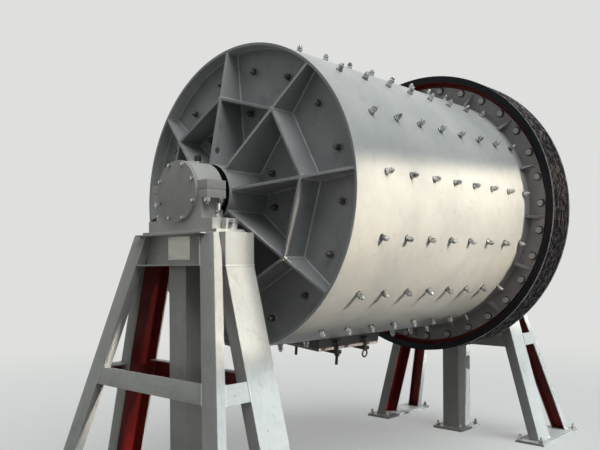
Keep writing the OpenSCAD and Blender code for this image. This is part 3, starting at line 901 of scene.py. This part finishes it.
# The neck's dark grey is painted shade under the drum.
neck_shade_enamel = enamel("oily_dark_grey_enamel", "#4B4846", "#383533", "#1B1917", rough=0.4, grime=0.8)
finished("manhole_neck", [neck_shade_enamel])
finished("manhole_cover", [flange_enamel])
finished("manhole_clamps", [clamp_steel], edge=clamp_edge)

# Bearing housings: split iron castings in grey enamel, a flat cover on the outer end, on a plate with jacking
# blocks. Cover screws, cap bolts, anchor bolts and jacking screws are zinc-plated.
bearing_proud, barrel_half = 347 * mm, 88 * mm
bearing_mid = near_rim - bearing_proud
barrel_face = bearing_mid - barrel_half
cover_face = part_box("near_end_cover")[0].x
centre_height, foot_thick = 217 * mm, 62 * mm
foot_top = axis_z - (centre_height - foot_thick)
cover_screw_r = 156 * mm
cover_screw_turns = [math.radians(22 + 45 * i) for i in range(8)]
ear_mid_x, ear_under_z = barrel_face + 65 * mm, axis_z - 48 * mm
cap_bolt_y, cap_bolt_half_pitch = 222 * mm, 44 * mm
anchor_x, anchor_y = bearing_mid - 23 * mm, 262 * mm
jack_y, jack_z = 325.5 * mm, axis_z - 181 * mm
breather_x, breather_z = bearing_mid + 45 * mm, axis_z + 169 * mm

# Castings take a satin coat, the machined cover a duller and warmer one. Sealant and plug are black and matt.
housing_enamel = enamel("satin_grey_enamel", "#BFBEBA", "#B1B0AC", "#64605A", rough=0.36)
cover_enamel = enamel("warm_grey_enamel", "#B2B1A9", "#A3A29B", "#66625A", rough=0.45)
split_seal = enamel("black_joint_sealant", "#1C1B1A", "#161514", "#0F0E0D", rough=0.6, grime=0.3, ior=1.3)
breather_black = enamel("black_breather_plug", "#1E1D1D", "#171616", "#33302C", rough=0.4, grime=0.4)


def placed(name, shape, places, finish):
    """Copies of one fastener on the stand, each at its place and turned from +Z to the way it points."""
    whole = bmesh.new()
    for place, points in places:
        start = len(whole.verts)
        whole.from_mesh(shape)
        whole.verts.ensure_lookup_table()
        turn = Vector((0, 0, 1)).rotation_difference(Vector(points)).to_matrix().to_4x4()
        bmesh.ops.transform(whole, matrix=Matrix.Translation(Vector(place)) @ turn, verts=whole.verts[start:])
    mesh = bpy.data.meshes.new(name)
    whole.to_mesh(mesh)
    whole.free()
    soften(mesh)
    mesh.materials.append(finish)
    piece(name, mesh, "stand")


def housing_coat(centre, normal):
    """Enamel, with a line of black sealant where cap and base meet."""
    return int(abs(centre.z - axis_z) < 2.6 * mm)


upwards = (0, 0, 1)
cover_screw = turned(
    "cover_screw",
    [washer(0, thick=2 * mm, radius=11 * mm), nut(2 * mm, 11 * mm, 9.8 * mm)],
    upwards,
)
cap_bolt = turned(
    "cap_bolt",
    [
        washer(0, thick=4 * mm, radius=22 * mm),
        nut(4 * mm, 23 * mm, m24_corner_r),
        thread(23 * mm, 36 * mm, m24_r),
    ],
    upwards,
)
anchor_bolt = turned(
    "anchor_bolt",
    [
        washer(0, thick=4 * mm, radius=24 * mm),
        nut(4 * mm, 23 * mm, m24_corner_r),
        nut(24 * mm, 40 * mm, m24_corner_r),
        thread(40 * mm, 73 * mm, m24_r),
    ],
    upwards,
)
jack_screw = turned(
    "jack_screw",
    [nut(0, 10 * mm, 15 * mm), thread(10 * mm, 46 * mm, 8 * mm), nut(46 * mm, 57 * mm, 14 * mm)],
    upwards,
)
stem_outline = [(0, 18 * mm), (9 * mm, 18 * mm), (12 * mm, 14 * mm)]
plug_outline = [(12 * mm, 17 * mm), (14 * mm, 20 * mm), (40 * mm, 20 * mm), (43 * mm, 16 * mm)]
breather_stem = turned("breather_stem", [(24, stem_outline)], upwards)
breather = turned("breather", [(24, plug_outline)], upwards)
for end, out in (("near", 1), ("far", -1)):
    for half in ("base", "cap"):
        paints = [housing_enamel, split_seal]
        finished(f"{end}_bearing_{half}", paints, edge=3 * mm, coat=housing_coat)
    finished(f"{end}_end_cover", [cover_enamel], edge=3 * mm)
    finished(f"{end}_bearing_seat", [housing_enamel])
    screws = []
    for t in cover_screw_turns:
        on_circle = (out * cover_face, -cover_screw_r * math.cos(t), axis_z + cover_screw_r * math.sin(t))
        screws.append((on_circle, (-out, 0, 0)))
    placed(f"{end}_cover_screws", cover_screw, screws, zinc)
    fixings = []
    for side in (-1, 1):
        for along_x in (-cap_bolt_half_pitch, cap_bolt_half_pitch):
            fixings.append(((out * (ear_mid_x + along_x), side * cap_bolt_y, ear_under_z), (0, 0, -1)))
    placed(f"{end}_cap_bolts", cap_bolt, fixings, zinc)
    anchors = [((out * anchor_x, side * anchor_y, foot_top), upwards) for side in (-1, 1)]
    placed(f"{end}_anchor_bolts", anchor_bolt, anchors, zinc)
    jacks = [((out * bearing_mid, side * jack_y, jack_z), (0, side, 0)) for side in (-1, 1)]
    placed(f"{end}_jack_screws", jack_screw, jacks, zinc)
    breather_at = [((out * breather_x, 0, breather_z), upwards)]
    placed(f"{end}_breather_stem", breather_stem, breather_at, zinc)
    placed(f"{end}_breather", breather, breather_at, breather_black)

# Trestles: box beams and posts with legs and braces of rolled channel, welded, with warm grey enamel outside.
# The hollow sides of the channels still show their red primer, and zinc-plated M20 bolts hold the feet down.
beam_low, beam_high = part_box("near_inner_beam")
frame_out_x, frame_in_x = beam_low.x, beam_high.x
beam_z, frame_top = beam_low.z, beam_high.z
leg_y = beam_high.y
outer_beam_d = 75 * mm
leg_x = frame_out_x - outer_beam_d
brace_z, brace_h, brace_t = 790 * mm, 100 * mm, 7 * mm
outer_w, outer_flange, outer_t = 110 * mm, 55 * mm, 8 * mm
inner_w, inner_flange, inner_t = 200 * mm, 80 * mm, 10 * mm
post_half = 75 * mm
sole_t, sole_edge, hole_edge = 20 * mm, 60 * mm, 28 * mm
lean_x, lean_y = 0.215, 0.275
tilt_x = math.atan(lean_x)
tilt_y = math.atan(lean_y * math.cos(tilt_x))
side_tilt = math.atan(lean_y)
outer_turn = Matrix.Rotation(tilt_x, 3, "Y") @ Matrix.Rotation(-tilt_y, 3, "X")
side_turn = Matrix.Rotation(-side_tilt, 3, "X")
brace_turn = Matrix.Rotation(tilt_x, 3, "Y")
brace_drop = beam_z - brace_z
outer_corner = Vector((leg_x, -leg_y, beam_z))
inner_corner = Vector((frame_out_x, -leg_y, beam_z))

# One warm grey enamel, brushed along each steel: its strokes are 11 mm wide and 200 mm long, and leave thin
# streaks. Over the welds it is paler.
trestle_coat = {
    "code": "#AFAFAB",
    "thin_code": "#9B9B97",
    "grime_code": "#5F5B53",
    "rough": 0.3,
    "grime": 0.5,
}
stroke_w, stroke_l = 11.1 * mm, 200 * mm
up_and_down = (stroke_w, stroke_w, stroke_l)
crosswise = (stroke_w, stroke_l, stroke_w)
lengthwise = (stroke_l, stroke_w, stroke_w)
upright_enamel = enamel("grey_enamel_brushed_up_and_down", **trestle_coat, strokes=up_and_down)
crosswise_enamel = enamel("grey_enamel_brushed_across", **trestle_coat, strokes=crosswise)
lengthwise_enamel = enamel("grey_enamel_brushed_lengthwise", **trestle_coat, strokes=lengthwise)
trestle_weld = enamel("trestle_enamel_over_weld", "#C6C6C2", "#A9A8A3", "#5C5851", rough=0.3, grime=0.8)


def along_steel(centre, turn, corner):
    """A point as the near right leg or brace sees it, measured from its outer corner."""
    return turn.transposed() @ (Vector((-abs(centre.x), -abs(centre.y), centre.z)) - Vector(corner))


def outer_leg_coat(centre, normal):
    """Primer in the hollow of an outer leg, between its flanges."""
    p = along_steel(centre, outer_turn, outer_corner)
    return int(p.x > outer_t - mm / 2 and outer_t - mm / 2 < p.y < outer_w - outer_t + mm / 2)


def inner_leg_coat(centre, normal):
    """Primer in the hollow of an inner leg, between its flanges."""
    p = along_steel(centre, side_turn, inner_corner)
    return int(inner_t - mm / 2 < p.x < inner_w - inner_t + mm / 2 and p.y > inner_t - mm / 2)


def brace_coat(depth, height):
    """Primer on the inner side of a brace's web and between its flanges."""
    return int(depth > brace_t - mm / 2 and abs(height) < brace_h / 2 - brace_t + mm / 2)


def outer_brace_coat(centre, normal):
    """The outer brace leans with the outer legs."""
    p = along_steel(centre, brace_turn, (leg_x - lean_x * brace_drop, 0, brace_z))
    return brace_coat(p.x, p.z)


def inner_brace_coat(centre, normal):
    """The inner braces stand upright, with their webs on the drum's side."""
    return brace_coat(frame_in_x + abs(centre.x), centre.z - brace_z)


def side_brace_coat(centre, normal):
    """The side braces lean with the inner legs."""
    p = along_steel(centre, side_turn, (0, -leg_y - lean_y * brace_drop, brace_z))
    return brace_coat(p.y, p.z)


coats = {
    "outer_leg_left": outer_leg_coat,
    "outer_leg_right": outer_leg_coat,
    "inner_leg_left": inner_leg_coat,
    "inner_leg_right": inner_leg_coat,
    "outer_brace": outer_brace_coat,
    "inner_braces": inner_brace_coat,
    "side_braces": side_brace_coat,
}
for end in ("near", "far"):
    finished(f"{end}_inner_beam", [crosswise_enamel])
    finished(f"{end}_outer_beam", [crosswise_enamel])
    finished(f"{end}_centre_post", [upright_enamel])
    finished(f"{end}_sole_plates", [lengthwise_enamel])
    for part, coat in coats.items():
        outside = lengthwise_enamel if part == "side_braces" else crosswise_enamel
        outside = upright_enamel if "leg" in part else outside
        finished(f"{end}_{part}", [outside, red_primer], edge=2.5 * mm, coat=coat)


def on_leg(corner, turn, x, y, height):
    """The point of a near right leg at this height, on the line at x, y of its section."""
    start = corner + turn @ Vector((x, y, 0))
    rise = turn @ Vector((0, 0, 1))
    return start + rise * ((height - start.z) / rise.z)


brace_low, brace_high = brace_z - brace_h / 2, brace_z + brace_h / 2
near_right_seams = [
    [inner_corner, Vector((frame_in_x, -leg_y, beam_z))],
    [inner_corner, inner_corner + Vector((0, inner_flange, 0))],
    [on_leg(outer_corner, outer_turn, 0, outer_w, z) for z in (beam_z, frame_top - 4 * mm)],
    [on_leg(outer_corner, outer_turn, 0, outer_w, z) for z in (brace_low, brace_high)],
    [on_leg(outer_corner, outer_turn, outer_flange, 0, z) for z in (brace_low, brace_high)],
    [on_leg(inner_corner, side_turn, 0, 0, z) for z in (brace_low, brace_high)],
    [on_leg(inner_corner, side_turn, x, 0, sole_t) for x in (0, inner_w)],
    [on_leg(inner_corner, side_turn, 0, y, sole_t) for y in (0, inner_flange)],
    [on_leg(outer_corner, outer_turn, 0, y, sole_t) for y in (0, outer_w)],
    [on_leg(outer_corner, outer_turn, x, 0, sole_t) for x in (0, outer_flange)],
]
foot_x = leg_x - lean_x * (beam_z - sole_t)
foot_y = leg_y + lean_y * (beam_z - sole_t)
sole_y_out, sole_y_in = foot_y + sole_edge, foot_y - outer_w - sole_edge
leg_sole_x = foot_x - sole_edge, frame_in_x + sole_edge
post_sole_x = frame_out_x - sole_edge, frame_in_x + sole_edge
near_soles = [
    (leg_sole_x, (sole_y_in, sole_y_out)),
    (post_sole_x, (-post_half - sole_edge, post_half + sole_edge)),
    (leg_sole_x, (-sole_y_out, -sole_y_in)),
]
near_holes = []
for (x_low, x_high), (y_low, y_high) in near_soles:
    for x in (x_low + hole_edge, x_high - hole_edge):
        near_holes += [(x, y_high - hole_edge), (x, y_low + hole_edge)]
floor_bolt = turned(
    "floor_bolt",
    [
        washer(0, thick=3 * mm, radius=20 * mm),
        nut(3 * mm, 21 * mm, m20_corner_r),
        thread(21 * mm, 42 * mm, m20_r),
    ],
    upwards,
)
for end, out in (("near", 1), ("far", -1)):
    seams = [[(out * x, side * y, z) for x, y, z in seam] for side in (-1, 1) for seam in near_right_seams]
    welds(f"{end}_trestle_welds", seams, "stand", trestle_weld, "trestle_paint", 5 * mm)
    holes = [((out * x, y, sole_t), upwards) for x, y in near_holes]
    placed(f"{end}_floor_bolts", floor_bolt, holes, zinc)

# Nameplate: a bare plate of aluminium, 190 by 127 mm, on four small rivets on the web of the near outer beam.
# Nothing is stamped on it. Its satin finish is a fine grain that runs across the mill.
plate_w, plate_h, plate_t = 190 * mm, 127 * mm, 1.5 * mm
plate_corner_r, rivet_edge = 6 * mm, 9 * mm
plate_x = frame_out_x - outer_t
plate_y, plate_z = -27 * mm, 1506 * mm
plate_grain = (2 * mm, 111 * mm, 2 * mm)
plate_metal = bare_metal(
    "satin_anodised_aluminium", "#C4C2BA", "#B0ADA5", rough=0.36, metal=0.7, grain=plate_grain
)
sheet = bmesh.new()
bmesh.ops.create_cube(sheet, size=1.0)
bmesh.ops.scale(sheet, vec=(plate_t, plate_w, plate_h), verts=sheet.verts)
corners = [e for e in sheet.edges if abs((e.verts[0].co - e.verts[1].co).x) > plate_t / 2]
bmesh.ops.bevel(sheet, geom=corners, offset=plate_corner_r, segments=4, profile=0.5, affect="EDGES")
bmesh.ops.translate(sheet, vec=(plate_x - plate_t / 2, plate_y, plate_z), verts=sheet.verts)
plate_mesh = bpy.data.meshes.new("nameplate")
sheet.to_mesh(plate_mesh)
sheet.free()
soften(plate_mesh)
plate_mesh.materials.append(plate_metal)
piece("nameplate", plate_mesh, "stand")
rivet = turned("rivet", [(12, [(0, 4 * mm), (1.2 * mm, 3.6 * mm), (2.2 * mm, 2.2 * mm)])], upwards)
rivets = []
for y in (-1, 1):
    for z in (-1, 1):
        rivet_y, rivet_z = y * (plate_w / 2 - rivet_edge), z * (plate_h / 2 - rivet_edge)
        rivets.append(((plate_x - plate_t, plate_y + rivet_y, plate_z + rivet_z), (-1, 0, 0)))
placed("nameplate_rivets", rivet, rivets, plate_metal)
